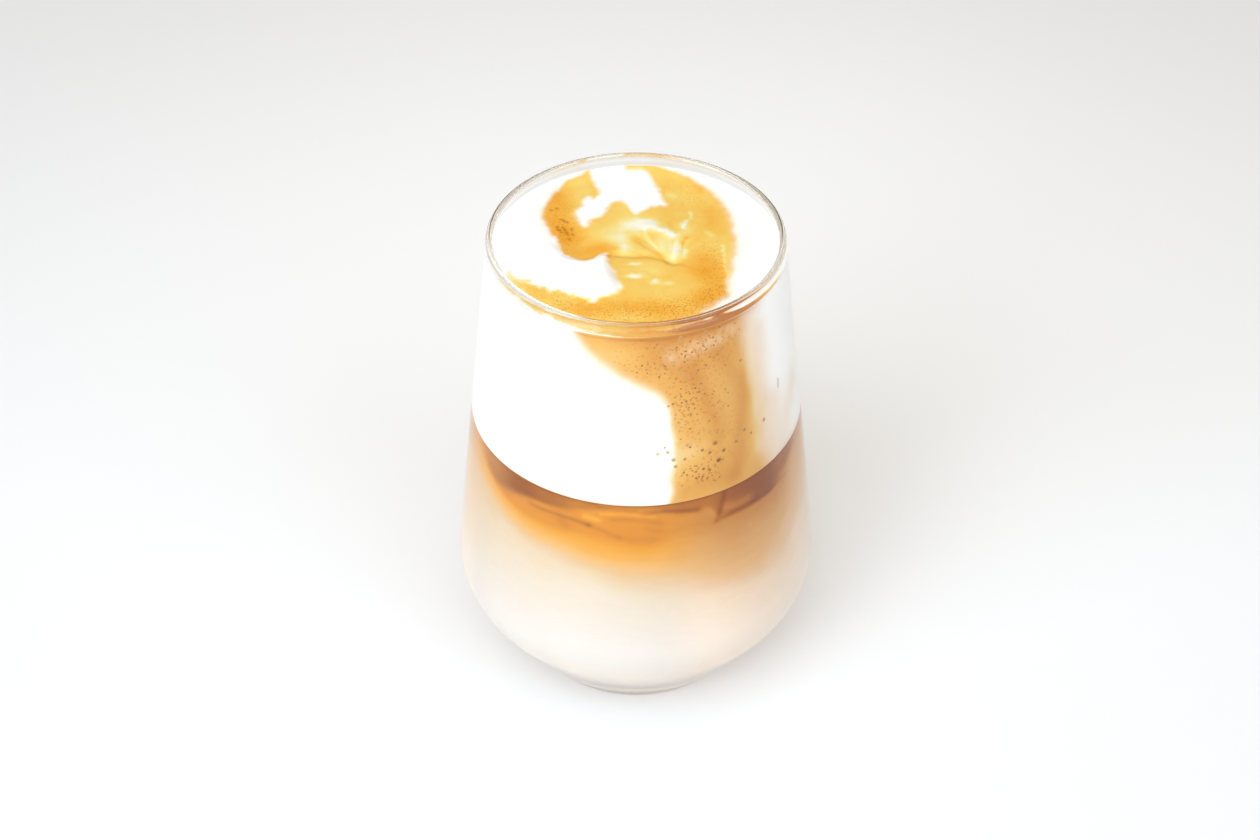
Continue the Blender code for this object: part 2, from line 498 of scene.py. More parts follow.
faces = [quads, fan(first, under, up=False), fan(last, floor_middle, up=True)]
tumbler = new_piece("tumbler", points, faces, [clear_glass])
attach(tumbler, "root")
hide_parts("glass")

# %% [markdown]
# ## Milk and coffee
#
# Below the foam the espresso has sunk into the milk. It is darkest right under the foam, where
# brown veils hang, then amber, and it fades into cream lower down on the right than on the left.
# Every point of the two pieces carries two numbers, worked out from its turn round the glass and
# its height, so that they join without a seam: how strong the coffee is, and how much its colour
# goes from amber to tan.

# %% Levels of the coffee
# Turn round the glass in degrees, 0 at the front and positive to the right, and the heights in
# millimetres at which the coffee is as strong as each of the FADE_LEVELS.
FADE_LEVELS = (0.1, 0.2, 0.3, 0.5, 0.7)
# The height at which the last trace of coffee is gone.
FADE_FOOT = 20.0
FADE = (
    (-180, 44.0, 52.0, 57.0, 62.0, 67.0),
    (-120, 44.0, 53.0, 59.0, 64.0, 69.0),
    (-85, 45.0, 55.0, 66.0, 69.5, 82.0),
    (-70, 44.0, 54.0, 64.5, 69.5, 78.0),
    (-60, 44.0, 55.0, 62.0, 66.0, 69.5),
    (-50, 46.2, 57.0, 59.8, 63.2, 65.8),
    (-40, 47.0, 55.8, 58.2, 61.6, 64.6),
    (-25, 49.0, 55.0, 57.6, 61.2, 64.8),
    (-15, 49.6, 53.4, 56.0, 60.0, 65.4),
    (-5, 47.5, 51.1, 54.0, 58.9, 64.6),
    (5, 46.9, 49.9, 53.3, 59.0, 63.8),
    (15, 45.6, 49.7, 53.3, 58.7, 66.6),
    (25, 45.6, 48.0, 50.8, 58.8, 66.0),
    (35, 44.0, 46.1, 48.9, 56.6, 64.9),
    (45, 42.8, 45.1, 47.8, 58.6, 63.4),
    (55, 43.0, 46.8, 51.6, 58.6, 63.6),
    (60, 44.3, 48.7, 53.9, 59.6, 67.5),
    (66, 48.4, 51.2, 55.0, 66.6, 70.5),
    (75, 49.6, 52.6, 59.6, 67.8, 76.0),
    (95, 49.0, 54.0, 60.0, 67.0, 74.0),
    (130, 46.0, 53.0, 58.0, 63.0, 68.0),
)
print("the coffee's levels are given at", len(FADE), "turns")

# %% Brown band and veils
# The brown band under the foam: how deep it keeps its strength and where it is gone, both in
# millimetres below the foam, and how much it adds.
BAND = (
    (-180, 2.0, 4.5, 0.16),
    (-100, 1.5, 4.0, 0.06),
    (-72, 1.5, 4.0, 0.05),
    (-66, 1.8, 5.0, 0.10),
    (-60, 4.0, 6.2, 0.16),
    (-55, 5.0, 8.2, 0.17),
    (-50, 4.2, 8.2, 0.24),
    (-45, 3.8, 7.0, 0.30),
    (-40, 3.4, 5.8, 0.30),
    (-35, 3.2, 5.0, 0.26),
    (-25, 2.6, 5.0, 0.20),
    (-20, 1.6, 4.0, 0.15),
    (-15, 1.0, 2.8, 0.18),
    (-8, 0.8, 2.0, 0.11),
    (0, 0.8, 2.4, 0.13),
    (8, 1.2, 3.0, 0.15),
    (15, 2.2, 4.0, 0.16),
    (26, 2.4, 5.0, 0.14),
    (29, 5.2, 8.4, 0.17),
    (35, 6.4, 9.0, 0.22),
    (45, 6.6, 9.2, 0.27),
    (52, 6.8, 9.4, 0.26),
    (55, 6.0, 9.0, 0.22),
    (58, 4.0, 7.6, 0.18),
    (65, 2.2, 4.8, 0.20),
    (72, 2.0, 5.0, 0.06),
    (120, 2.0, 4.5, 0.12),
)
# How far the noise moves the levels up or down, its size, and how much flatter than wide it is.
DRIFT = 1.6
DRIFT_SIZE = 14.0
DRIFT_FLATNESS = 2.5
# The thin dark skin right under the foam: its strength, its depth, and the turns where it ends.
SKIN = 0.14
SKIN_DEPTH = 0.40
SKIN_ENDS = (55.0, 80.0)
# The turns between which amber goes to tan at the right, and back to amber at the left.
TAN_AT_RIGHT = (4.0, 30.0)
TAN_AT_LEFT = (-78.0, -60.0)
# Thin veils: their points as degrees and millimetres, half width in millimetres, and strength.
VEILS = (
    (((-38, 67.8), (-33, 67.7), (-27, 68.1), (-21, 67.8), (-16, 67.3)), 0.75, 0.14),
    (((-16, 67.3), (-12, 66.6), (-9, 65.8), (-6, 65.0)), 0.70, 0.09),
    (((-26, 66.8), (-24, 65.8)), 1.30, 0.08),
    (((-5, 65.0), (0, 64.5), (6, 64.7)), 0.90, 0.05),
    (((-13, 72.4), (-5, 71.9), (0, 72.1)), 0.50, 0.05),
    (((3, 71.2), (9, 71.6), (15, 71.3), (21, 70.6)), 0.65, 0.09),
    (((-8, 69.5), (-2, 69.8), (4, 69.4), (8, 68.6)), 0.70, 0.08),
    (((4, 67.2), (8, 66.6)), 0.70, 0.06),
    (((-12, 70.6), (-5, 71.2), (0, 70.8), (6, 70.4)), 0.45, -0.08),
    (((-2, 72.5), (5, 72.4), (8, 72.1)), 0.40, -0.04),
    (((-17, 69.4), (-13, 69.0)), 0.90, -0.12),
    (((24, 70.2), (27, 68.4)), 0.90, -0.05),
    (((27.4, 65.6), (28.8, 67.6), (30.4, 70.4), (31.4, 73.0)), 0.60, 0.10),
    (((32, 68.6), (36, 68.0), (41, 68.0)), 1.30, -0.13),
    (((28, 65.9), (36, 66.4), (44, 66.0), (52, 65.9), (57, 66.6), (61, 66.3)), 0.55, 0.09),
)
print("the brown band is given at", len(BAND), "turns, with", len(VEILS), "veils")

# %% Strength of the coffee
def round_the_glass(turn, table, column):
    """The table's column read at a turn in degrees, straight between its rows and round the back."""
    rows = np.array(table + ((table[0][0] + 360, *table[0][1:]),))
    return np.interp(turn, rows[:, 0], rows[:, column])


def turn_of(points):
    """Degrees round the glass from the front (-Y), positive to the right (+X)."""
    return np.degrees(np.arctan2(points[:, 0], -points[:, 1]))


def coffee_marks(points):
    """Strength from 0 in clean milk to 1 in the darkest veils, and tan from 0 to 1."""
    x, y, z = points.T / MM
    turn = turn_of(points)
    depth = COFFEE_LEVEL / MM - z
    drift = DRIFT * (layered_cloud(x, y, DRIFT_FLATNESS * z, DRIFT_SIZE, 11) - 0.5)
    height = z + drift
    strength = 0.0 * z
    low, low_level = FADE_FOOT, 0.0
    for k, level in enumerate(FADE_LEVELS):
        high = round_the_glass(turn, FADE, k + 1)
        strength = strength + (level - low_level) * np.clip((height - low) / (high - low), 0.0, 1.0)
        low, low_level = high, level
    kept, gone = (round_the_glass(turn, BAND, k) for k in (1, 2))
    brown = round_the_glass(turn, BAND, 3) * (1.0 - rise(depth - 0.6 * drift, kept, gone))
    skin = SKIN * np.exp(-((depth / SKIN_DEPTH) ** 2)) * (1.0 - rise(np.abs(turn), *SKIN_ENDS))
    way = np.radians(turn) * SIDE_RADIUS
    veils = strokes(way, z + 0.5 * drift, on_side_all(VEILS))
    tan = rise(turn, *TAN_AT_RIGHT) + 1.0 - rise(turn, *TAN_AT_LEFT)
    return np.clip(strength + brown + skin + veils, 0.0, 1.0), tan


front = np.array([[0.0, -36.0, height] for height in (50.0, 60.0, 70.0)]) * MM
print("strength in front at 50, 60 and 70 mm:", coffee_marks(front)[0].round(2))

# %% Material of the milk and the coffee
# Milk with espresso in it: a smooth, opaque liquid that wets the glass, so it takes its shine from
# the wall and has hardly any of its own. The finest veils are drawn by noise, flat as layers are.
FINE_VEIL = 6 * MM
FINE_SHIFT = 0.08
FLATNESS = (1.0, 1.0, 4.0)
# Below this strength the fine veils fade out, so that clean milk stays clean.
FULL_VEILS_FROM = 0.2
# Strength of the coffee, its colour where it is amber, and where it is tan.
COFFEE_COLOURS = (
    (0.0, "#EDE0D0", "#F4E0CA"),
    (0.03, "#DFD7CD", "#EFDFCE"),
    (0.065, "#DBCEC1", "#EAD6C2"),
    (0.10, "#D8C8B2", "#E4CAAD"),
    (0.20, "#D6BE9E", "#DEBC98"),
    (0.30, "#D4B184", "#DAAF7E"),
    (0.40, "#DAA967", "#D4A268"),
    (0.50, "#DB9E47", "#CD985A"),
    (0.60, "#D8952C", "#C78C4A"),
    (0.70, "#CD831F", "#BE7F36"),
    (0.80, "#C0771F", "#B06A1C"),
    (0.90, "#A3621C", "#9A5208"),
    (1.0, "#8C4802", "#7E3B00"),
)

milk_with_coffee, tree, shader = new_material("milk_stained_by_espresso")
shader.inputs["Roughness"].default_value = 0.25
shader.inputs["IOR"].default_value = 1.35
shader.inputs["Specular IOR Level"].default_value = 0.05
coffee, tan = (
    add(tree, "ShaderNodeAttribute", attribute_name=key).outputs["Fac"] for key in ("coffee", "tan")
)
place = add(tree, "ShaderNodeTexCoord").outputs["Object"]
flat = add(tree, "ShaderNodeMapping", {"Vector": place, "Scale": FLATNESS})
veil_inputs = {"Vector": flat, "Scale": 1 / FINE_VEIL, "Detail": 3.0, "Distortion": 0.8}
veil = add(tree, "ShaderNodeTexNoise", veil_inputs)
shift_inputs = {0: veil, 1: FINE_SHIFT, 2: -FINE_SHIFT / 2}
shift = add(tree, "ShaderNodeMath", shift_inputs, operation="MULTIPLY_ADD")
steady_inputs = {0: coffee, 1: 1 / FULL_VEILS_FROM}
steady = add(tree, "ShaderNodeMath", steady_inputs, operation="MULTIPLY", use_clamp=True)
total = add(tree, "ShaderNodeMath", {0: shift, 1: steady, 2: coffee}, operation="MULTIPLY_ADD")
ramps = [
    add(tree, "ShaderNodeValToRGB", {"Fac": total}, stops=[(row[0], row[k]) for row in COFFEE_COLOURS])
    for k in (1, 2)
]
colour = add(tree, "ShaderNodeMix", {0: tan, 6: ramps[0], 7: ramps[1]}, data_type="RGBA")
tree.links.new(colour.outputs[2], shader.inputs["Base Color"])
print(milk_with_coffee.name, "has", len(COFFEE_COLOURS), "strengths in two hues")

# %% Milk and coffee
DRINK_COLUMNS = 600
around = np.arange(DRINK_COLUMNS) * 2 * math.pi / DRINK_COLUMNS


def layer(name, stops):
    """A filling: a turned side that reaches into the wall, its rows spaced by stops, and flat ends."""
    line = rows_between(inner_line(-WALL_BITE), stops)
    points, quads = turned(line, around)
    bottom, top = len(points), len(points) + 1
    points = np.vstack((points, [[0.0, 0.0, line[0, 1]], [0.0, 0.0, line[-1, 1]]]))
    ring = np.arange(DRINK_COLUMNS)
    ends = [fan(ring, bottom, up=False), fan(ring + (len(line) - 1) * DRINK_COLUMNS, top, up=True)]
    patterns = dict(zip(("coffee", "tan"), coffee_marks(points)))
    return new_piece(name, points, [quads, *ends], [milk_with_coffee], patterns=patterns)


milk = layer("milk_layer", ((BASE_THICKNESS - WALL_BITE, 0.8 * MM), (MILK_LEVEL, 0.0)))
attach(milk, "root")
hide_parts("milk")

coffee = layer("coffee_layer", ((MILK_LEVEL, 0.5 * MM), (63.5 * MM, 0.2 * MM), (COFFEE_LEVEL, 0.0)))
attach(coffee, "root")
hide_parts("coffee")

# %% [markdown]
# ## Marks of the pour
#
# The espresso was poured through the foam. On top it left a brown hook on the left, an arc on the
# right, a band along the front, and pale strokes where milk foam was drawn through it. Against
# the glass it ran down in one broad stain. Each mark is a loop or a stroke through a few points:
# x and y in millimetres on top, and on the side degrees round the glass and height in millimetres.

# %% Outlines on top
# The crema's outline, the white patch in it, and the tongue of white foam that laps over the hook.
CREMA = (
    (-9.4, 31.4), (-11.6, 29.9), (-14.0, 28.2), (-16.6, 25.9), (-18.4, 22.8), (-19.8, 19.0),
    (-21.0, 15.8), (-20.9, 12.4), (-20.0, 9.2), (-18.5, 5.5), (-17.1, 2.0), (-15.9, -0.8),
    (-14.0, -2.8), (-11.8, -3.4), (-9.8, -2.9), (-7.9, -1.5), (-6.5, -0.8), (-6.5, -2.4),
    (-6.0, -4.8), (-5.1, -7.6), (-4.6, -10.2), (-3.7, -12.6), (-3.7, -14.3), (-5.2, -16.0),
    (-7.6, -17.1), (-9.6, -18.0), (-11.8, -17.6), (-13.6, -16.0), (-15.2, -14.6), (-16.8, -13.4),
    (-18.2, -14.2), (-19.8, -13.6), (-21.6, -12.6), (-23.2, -11.0), (-24.8, -9.2), (-27.0, -8.2),
    (-28.6, -7.0), (-29.0, -8.4), (-26.4, -14.2), (-21.6, -20.8), (-15.6, -25.6), (-10.8, -28.6),
    (-6.0, -31.0), (0.0, -34.0), (11.0, -31.4), (16.8, -24.6), (17.0, -21.6), (18.4, -18.6),
    (19.8, -16.6), (20.0, -13.0), (20.6, -9.0),
    (21.5, -3.0), (22.0, 3.0), (21.8, 9.0), (21.0, 14.0), (19.6, 19.0), (17.4, 23.2),
    (14.6, 26.4), (11.4, 29.0), (7.6, 31.2), (3.0, 32.9), (-1.0, 33.4), (-3.0, 33.0),
)
WHITE_PATCH = (
    (-9.7, 33.5), (-9.8, 28.6), (-9.2, 25.6), (-8.2, 23.8), (-7.8, 22.2), (-8.6, 20.6),
    (-9.6, 19.7), (-10.6, 20.8), (-11.8, 19.4), (-11.7, 17.6), (-13.0, 16.6), (-13.5, 14.8),
    (-12.8, 12.6), (-12.0, 10.2), (-11.1, 9.9), (-10.6, 11.6), (-9.7, 13.0), (-8.2, 13.9),
    (-7.2, 15.5), (-6.4, 17.2), (-5.2, 18.6), (-3.3, 19.0), (-1.8, 18.0), (-0.9, 16.2),
    (0.2, 14.9), (1.4, 15.6), (2.8, 16.9), (4.8, 17.6), (7.0, 18.0), (6.2, 19.6),
    (5.5, 21.5), (5.2, 23.5), (4.4, 25.6), (3.6, 27.6), (2.9, 29.3), (2.2, 30.6),
    (-0.2, 30.9), (-2.6, 31.0), (-3.4, 33.5),
)
TONGUE = (
    (-26.0, 2.0), (-20.5, 4.0), (-17.3, 1.0), (-15.4, -2.0), (-12.0, -3.6), (-9.6, -3.1),
    (-7.6, -1.5), (-6.3, -1.4), (-6.1, -4.0), (-5.4, -8.0), (-4.2, -12.6), (-5.2, -15.4),
    (-9.4, -17.6), (-13.4, -16.0), (-17.4, -13.0), (-22.6, -11.0), (-26.0, -6.0),
)
print("the crema's outline goes through", len(CREMA), "points")

# %% Spots and strokes on top
# Soft spots of tone: x, y, their half widths, and how much darker (or, below 0, paler) they are.
TONES = (
    (-18.2, 14.0, 3.2, 6.5, 0.25),
    (-15.6, 6.0, 3.2, 5.0, 0.37),
    (-12.2, -1.0, 4.2, 2.6, 0.15),
    (-18.0, 21.5, 2.6, 4.0, 0.18),
    (-8.0, 1.0, 3.4, 2.0, 0.19),
    (-12.4, 22.0, 3.0, 4.5, -0.08),
    (-9.2, 21.0, 1.2, 1.2, 0.03),
    (-5.8, 6.5, 3.8, 4.6, -0.07),
    (-0.8, 10.2, 3.4, 3.0, -0.34),
    (-3.2, 4.6, 2.6, 3.2, -0.20),
    (-2.4, 1.0, 1.2, 1.4, -0.20),
    (-3.2, 15.8, 2.2, 2.0, -0.03),
    (3.2, 9.8, 2.2, 1.8, -0.32),
    (6.0, 2.4, 3.0, 3.4, -0.21),
    (9.2, 0.0, 2.2, 3.0, -0.22),
    (10.8, 9.0, 1.6, 2.6, -0.08),
    (8.2, 21.5, 1.6, 1.6, -0.14),
    (14.6, 25.0, 2.0, 2.0, 0.08),
    (17.6, 13.0, 3.0, 6.0, 0.11),
    (15.6, -6.0, 4.0, 5.0, 0.30),
    (17.6, -14.0, 3.0, 5.0, 0.24),
    (14.6, -18.0, 3.4, 3.0, 0.27),
    (8.0, -22.6, 7.0, 3.4, 0.17),
    (0.0, -20.6, 8.0, 2.6, 0.24),
    (-11.5, -21.6, 5.0, 2.8, 0.23),
    (-21.0, -16.0, 4.5, 2.5, 0.04),
    (-26.5, -9.6, 3.0, 3.0, -0.14),
    (2.0, -13.8, 6.0, 3.0, -0.01),
    (20.6, 4.0, 1.4, 9.0, -0.03),
    (-0.6, -4.6, 1.4, 0.6, -0.35),
    (-0.2, -9.2, 1.9, 0.6, -0.40),
    (4.0, -10.9, 1.2, 0.9, -0.36),
    (6.9, -12.0, 1.4, 0.8, -0.26),
    (4.0, -28.0, 8.0, 2.0, 0.16),
    (-1.0, 0.2, 2.6, 1.8, -0.14),
    (0.6, 11.8, 1.8, 1.6, -0.12),
    (-5.6, 8.2, 2.6, 2.6, -0.06),
    (3.0, -7.0, 5.0, 2.6, -0.06),
)
# Strokes: their points, half width, and how much darker or paler they are.
STROKES = (
    (((8.0, -2.6), (8.8, 1.0), (10.0, 4.6), (10.8, 8.0)), 0.70, -0.12),
    (((10.4, 8.6), (11.2, 11.6)), 0.70, -0.33),
    (((10.6, 0.4), (10.8, -2.2)), 0.60, -0.17),
    (((1.8, 11.4), (3.6, 9.4), (5.0, 7.6)), 1.00, -0.26),
    (((6.6, 7.6), (7.4, 6.6), (8.2, 5.6)), 1.10, -0.38),
    (((7.4, 5.0), (7.2, 2.0), (7.8, -1.0)), 0.50, -0.01),
    (((1.4, 9.2), (2.6, 5.8), (4.2, 2.4), (5.6, 0.0)), 0.60, -0.10),
    (((-1.8, 7.2), (0.0, 4.6), (2.0, 1.6), (4.4, -1.4)), 1.00, 0.09),
    (((-7.0, 0.2), (-4.6, -1.0), (-2.2, -1.6), (0.6, -1.9), (3.6, -1.8)), 0.55, 0.07),
    (((4.8, -0.4), (6.0, -2.2), (7.2, -4.0)), 0.50, 0.19),
    (((7.2, -4.0), (9.6, -4.6), (12.2, -6.0)), 0.60, 0.08),
    # Painted shade: this dark line lies along a groove in the relief, where its shadow falls.
    (((11.6, 4.8), (10.8, 2.6), (10.0, 0.4)), 0.34, 0.20),
    (((12.2, 15.2), (12.5, 12.8)), 0.50, -0.23),
    (((15.4, 7.2), (16.6, 6.0)), 0.50, -0.13),
    (((1.6, -6.2), (4.0, -7.2)), 0.80, -0.03),
    (((19.0, 2.2), (19.4, -2.0), (19.7, -8.0), (20.0, -15.0)), 0.42, -0.18),
    (((20.5, 0.0), (20.9, -6.0), (21.0, -12.0)), 0.40, -0.05),
)
# Dark flecks on the hook, where the crema is thickest, and the half width of each.
FLECK_WIDTH = 0.30
FLECKS = (
    ((-17.9, 16.6), (-17.8, 16.2)),
    ((-19.3, 15.9), (-19.1, 15.6)),
    ((-17.0, 12.2), (-16.4, 11.9), (-15.3, 11.0)),
    ((-14.4, 8.8), (-14.3, 8.2)),
    ((-14.3, 6.9), (-13.9, 6.4)),
    ((-16.3, 9.2), (-15.6, 7.6), (-15.2, 6.4)),
    ((-14.9, 5.2), (-14.7, 4.7)),
    ((-17.7, 9.4), (-17.5, 8.2)),
    ((-17.0, 8.2), (-16.7, 7.2)),
)
# Where fine dark bubbles show in the crema: x, y, their half widths and how strongly.
SPECKLED = (
    (-17.0, 11.0, 4.2, 9.0, 0.75),
    (-16.0, 2.0, 4.0, 4.0, 0.45),
    (17.0, -4.0, 4.0, 8.0, 0.75),
    (17.4, -15.0, 3.6, 4.5, 0.9),
    (11.0, -21.0, 8.0, 4.6, 0.9),
    (-2.0, -23.0, 12.0, 4.4, 0.9),
    (-17.0, -19.0, 6.0, 4.0, 0.7),
    (12.0, 22.0, 6.0, 6.0, 0.35),
)
# Painted reflection: brown between the crema and the wall at the front right, where the rim bends
# the side's brown stain into view. Degrees round the glass, the distance from the axis where it
# starts, in millimetres, and its strength.
PAINTED_RIM_IMAGE = (
    (-12, 28.4, 0.0),
    (0, 28.0, 0.25),
    (12, 27.6, 0.50),
    (20, 27.3, 0.80),
    (28, 27.3, 0.95),
    (38, 27.8, 1.0),
    (45, 28.7, 1.0),
    (52, 29.5, 0.85),
    (62, 30.3, 0.50),
    (72, 30.8, 0.20),
    (80, 31.0, 0.0),
)
# Faint crema on the white foam at the right, as spots.
TOP_HAZE = ((27.6, 12.0, 2.0, 5.5, 0.16), (24.6, 2.0, 1.6, 9.0, 0.10))
# Pale froth beside the painted brown rim image, as strokes.
FROTH_STROKES = (
    (((9.6, -25.0), (12.0, -24.3), (14.4, -23.2)), 0.60, 0.30),
    (((15.0, -22.6), (17.6, -20.8), (21.0, -18.4)), 1.40, 0.62),
)
print("on top:", len(TONES), "spots,", len(STROKES), "strokes and", len(FLECKS), "flecks")

# %% Edges and creases of the marks on top
# Noise that frays the marks, in millimetres: coarse rags and fine froth. At the front left, where
# x + y is far below 0, the crema is loose and frays more.
RAG_SIZE = 3.6
RAG_REACH = 1.3
FRAY_SIZE = 1.1
FRAY_REACH = 0.5
LOOSE_FROM = (15.0, 25.0)
# Half width of the crema's soft edge, how much sharper it is round the hook, and softer at the right.
EDGE = 1.1
HOOK = ((-11.0, -2.0, 7.0, 4.0, 1.0),)
SHARPER = 0.8
SOFTER = 0.6
# Thin crema beyond the edge: how much, and how far out it reaches.
FRINGE = 0.28
FRINGE_REACH = 2.6
TOP_TONE = 0.41
# How much darker the painted reflection of the side's brown stain makes the crema.
PAINTED_RIM_IMAGE_TONE = 0.6
# How much darker a line just inside the edge is, and how much paler thin crema is.
EDGE_TONE = 0.10
THIN_TONE = 0.24
# Creases that fan out from the middle of the pour: where they meet, where they show, how many
# degrees each takes up, and their contrast.
CREASE_START = (7.5, -4.0)
CREASED = ((3.0, 5.0, 8.0, 6.0, 1.0),)
CREASE_DEGREES = 5.0
CREASE_TONE = 0.34
CLOUD_SIZE = 2.4
CLOUD_TONE = 0.12
# A dark line and then a pale one where the crema meets the wall, between these turns.
WALL_TURNS = ((-22.0, -10.0), (60.0, 72.0))
WALL_DARK = 0.15
WALL_PALE = 0.40
# How much paler the crema is between its fine dark bubbles.
SPECKLED_TONE = 0.07
print("the crema's edge is", 2 * EDGE, "mm wide")

# %% Marks on top
def frayed(x, y, z):
    """x and y, each plus coarse noise times its reach plus fine noise times its reach."""
    loose = RAG_REACH * rise(-x - y, *LOOSE_FROM)
    return [
        across
        + (RAG_REACH + loose) * (layered_cloud(x, y, z, RAG_SIZE, seed) - 0.5)
        + (FRAY_REACH + loose) * (cloud(x, y, z, FRAY_SIZE, seed + 4) - 0.5)
        for across, seed in ((x, 21), (y, 31))
    ]


def rim_image_strength(u, v, turn):
    """The painted rim image's strength at each turn, rising from 0 as the radius passes its start."""
    turns, starts, amounts = np.array(PAINTED_RIM_IMAGE).T
    start = np.interp(turn, turns, starts)
    return np.interp(turn, turns, amounts) * rise(np.hypot(u, v), start - 0.3, start + 0.5)


def top_cover(x, y, u, v, crema, rim_image):
    """The larger of edge and fringe, less white patch and froth, or haze or rim image where stronger."""
    hook = spots(x, y, HOOK)
    edge = EDGE - SHARPER * hook + SOFTER * rise(x, 12.0, 20.0)
    fringe = FRINGE * rise(crema, -FRINGE_REACH, 0.6) * (1.0 - hook)
    cover = np.maximum(rise(crema, -edge, edge), fringe)
    cover = cover * (1.0 - rise(inside(u, v, WHITE_PATCH), -1.1, 0.9))
    cover = np.maximum(cover, spots(x, y, TOP_HAZE))
    return np.maximum(cover * (1.0 - strokes(u, v, FROTH_STROKES)), rise(rim_image, 0.0, 0.4))


def top_tone(x, y, z, crema):
    """Tone that the line inside the edge, creases and clouds add to the spots and strokes."""
    line = EDGE_TONE * np.exp(-(((crema - 0.5) / 0.5) ** 2)) * (1.0 - rise(-y, 2.0, 6.0))
    spoke = np.degrees(np.arctan2(y - CREASE_START[1], x - CREASE_START[0])) / CREASE_DEGREES
    creases = spots(x, y, CREASED) * (cloud(spoke, 0.08 * x, 0.08 * y, 1.0, 91) - 0.5)
    clouds = layered_cloud(x, y, z, CLOUD_SIZE, 41) - 0.5
    return line + CREASE_TONE * creases + CLOUD_TONE * clouds


def thin_and_wall(x, y, crema, turn):
    """Paler where the crema is thin, a dark line near the wall, and a pale one against it."""
    thin = 1.0 - rise(crema, -1.4, 0.5) + (1.0 - rise(crema, 0.0, 1.8)) * rise(-x - y, 12.0, 20.0)
    to_wall = np.hypot(x, y).max() - np.hypot(x, y)
    along = rise(turn, *WALL_TURNS[0]) * (1.0 - rise(turn, *WALL_TURNS[1]))
    dark = WALL_DARK * (1.0 - rise(to_wall, 0.8, 1.5))
    pale = WALL_PALE * (1.0 - rise(to_wall, 0.2, 0.6))
    return along * (dark - pale) - THIN_TONE * thin


def marks_on_top(points):
    """Crema cover, its tone, how speckled it is and its flecks, each 0 to 1, for points on the top."""
    x, y, z = points.T / MM
    u, v = frayed(x, y, z)
    turn = turn_of(points)
    crema = inside(u, v, CREMA)
    # Painted reflection: the side's brown stain as the rim shows it, drawn on the top near the wall.
    rim_image = rim_image_strength(u, v, turn)
    cover = top_cover(x, y, u, v, crema, rim_image)
    specks = spots(x, y, SPECKLED) + 0.5 * rim_image
    tone = TOP_TONE + spots(u, v, TONES) + strokes(u, v, STROKES) + PAINTED_RIM_IMAGE_TONE * rim_image
    tone = tone + top_tone(x, y, z, crema)
    tone = tone + (1.0 - rim_image) * (thin_and_wall(x, y, crema, turn) - SPECKLED_TONE * specks)
    flecks = strokes(x, y, [(line, FLECK_WIDTH, 1.0) for line in FLECKS])
    return [np.clip(numbers, 0.0, 1.0) for numbers in (cover, tone, specks, flecks)]


spots_to_test = np.array([[-18.0, 14.0, 115.3], [-15.0, -8.0, 115.3]]) * MM
print("crema cover on the hook and on the white tongue:", marks_on_top(spots_to_test)[0].round(2))

# %% Outlines against the glass
# The stain's outline, in degrees round the glass and millimetres up.
STAIN = (
    (-35.0, 119.5), (-26.5, 116.7), (-23.5, 114.5), (-20.6, 112.2), (-16.2, 110.1), (-11.4, 108.1),
    (-5.8, 106.1), (0.4, 104.1), (5.0, 102.5), (8.6, 100.6), (10.6, 97.8), (11.4, 94.0),
    (12.0, 90.0), (11.7, 85.0), (10.7, 80.5), (11.4, 77.0), (12.0, 70.0), (36.0, 68.0),
    (53.0, 70.0), (51.5, 78.0), (51.0, 86.0), (50.0, 92.0), (49.0, 100.0), (47.4, 108.0),
    (46.4, 114.0), (46.0, 120.0),
)
# Spots and strokes of tone: degrees and height, half widths in millimetres, and how much darker.
SIDE_TONES = (
    (22.0, 116.8, 16.0, 1.8, 0.43),
    (2.0, 115.6, 8.0, 2.0, 0.13),
    (18.0, 86.0, 5.0, 3.0, -0.25),
    (24.0, 113.0, 14.0, 6.0, 0.22),
    (34.0, 79.0, 5.0, 4.0, 0.06),
    (12.0, 84.0, 2.0, 9.0, -0.25),
    (-9.0, 111.5, 5.0, 3.0, -0.16),
)
SIDE_STROKES = (
    (((25.0, 106.0), (29.0, 102.0), (33.0, 97.5), (36.0, 92.5)), 1.7, -0.05),
    (((21.0, 107.0), (23.5, 102.0), (26.0, 98.0), (29.5, 93.0), (30.0, 88.0)), 2.2, 0.22),
    (((8.0, 111.0), (13.0, 109.0), (19.0, 105.0)), 2.6, 0.12),
    (((29.0, 110.0), (34.0, 107.0), (37.0, 102.0)), 1.8, 0.10),
    (((42.0, 101.0), (41.0, 93.0), (39.5, 85.0), (36.5, 76.0)), 2.0, 0.20),
    (((17.0, 99.0), (17.0, 92.0), (18.0, 84.0)), 3.4, 0.01),
    (((18.0, 76.5), (26.0, 77.6), (34.0, 76.2)), 2.6, 0.17),
    (((26.0, 85.0), (29.0, 83.0), (31.0, 81.0)), 1.8, 0.08),
    (((46.0, 110.0), (46.5, 96.0), (47.0, 80.0)), 2.0, -0.28),
)
# Coarser froth that clings to the wall: its points as degrees and millimetres.
SIDE_FROTH = ((13.0, 111.0), (20.0, 112.0), (27.0, 112.0), (33.0, 113.0), (37.0, 113.6))
# Where fine dark bubbles show in the stain, as spots.
SIDE_SPECKLED = (
    (2.0, 110.5, 12.0, 5.0, 0.5),
    (26.0, 111.0, 11.0, 5.0, 0.7),
    (18.0, 100.0, 5.0, 6.0, 0.7),
    (26.0, 92.0, 10.0, 12.0, 0.45),
    (24.0, 80.0, 5.0, 3.0, 0.8),
)
